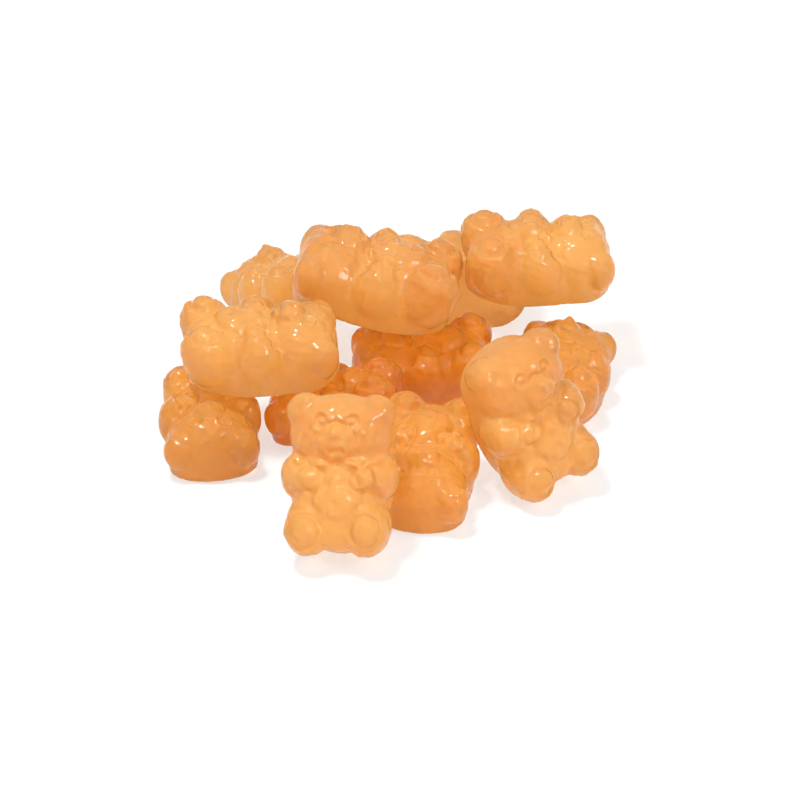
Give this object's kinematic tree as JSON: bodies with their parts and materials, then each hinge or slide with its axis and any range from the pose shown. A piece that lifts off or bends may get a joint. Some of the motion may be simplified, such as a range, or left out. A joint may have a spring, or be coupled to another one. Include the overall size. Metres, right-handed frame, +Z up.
{
  "type": "heap of gummy bears",
  "caption": "A loose heap of clear orange gummy bears lying on a table, some on their backs and some leaning on the others.",
  "frame": {"origin": "middle of the heap's outline on the table", "axes": "+Z up, -Y towards the viewer, +X to the viewer's right"},
  "size_m": [0.0664, 0.0804, 0.0257],
  "materials": {
    "gummy": "glossy, clear orange jelly"
  },
  "bodies": {
    "root": {"bear_left": "gummy", "bear_inner_left": "gummy", "bear_centre": "gummy", "bear_inner_right": "gummy", "bear_far_right": "gummy", "bear_front": "gummy", "bear_right_front": "gummy", "bear_top_left": "gummy", "bear_back_left": "gummy", "bear_top_middle": "gummy", "bear_back_middle": "gummy", "bear_top_right": "gummy"}
  },
  "joints": []
}
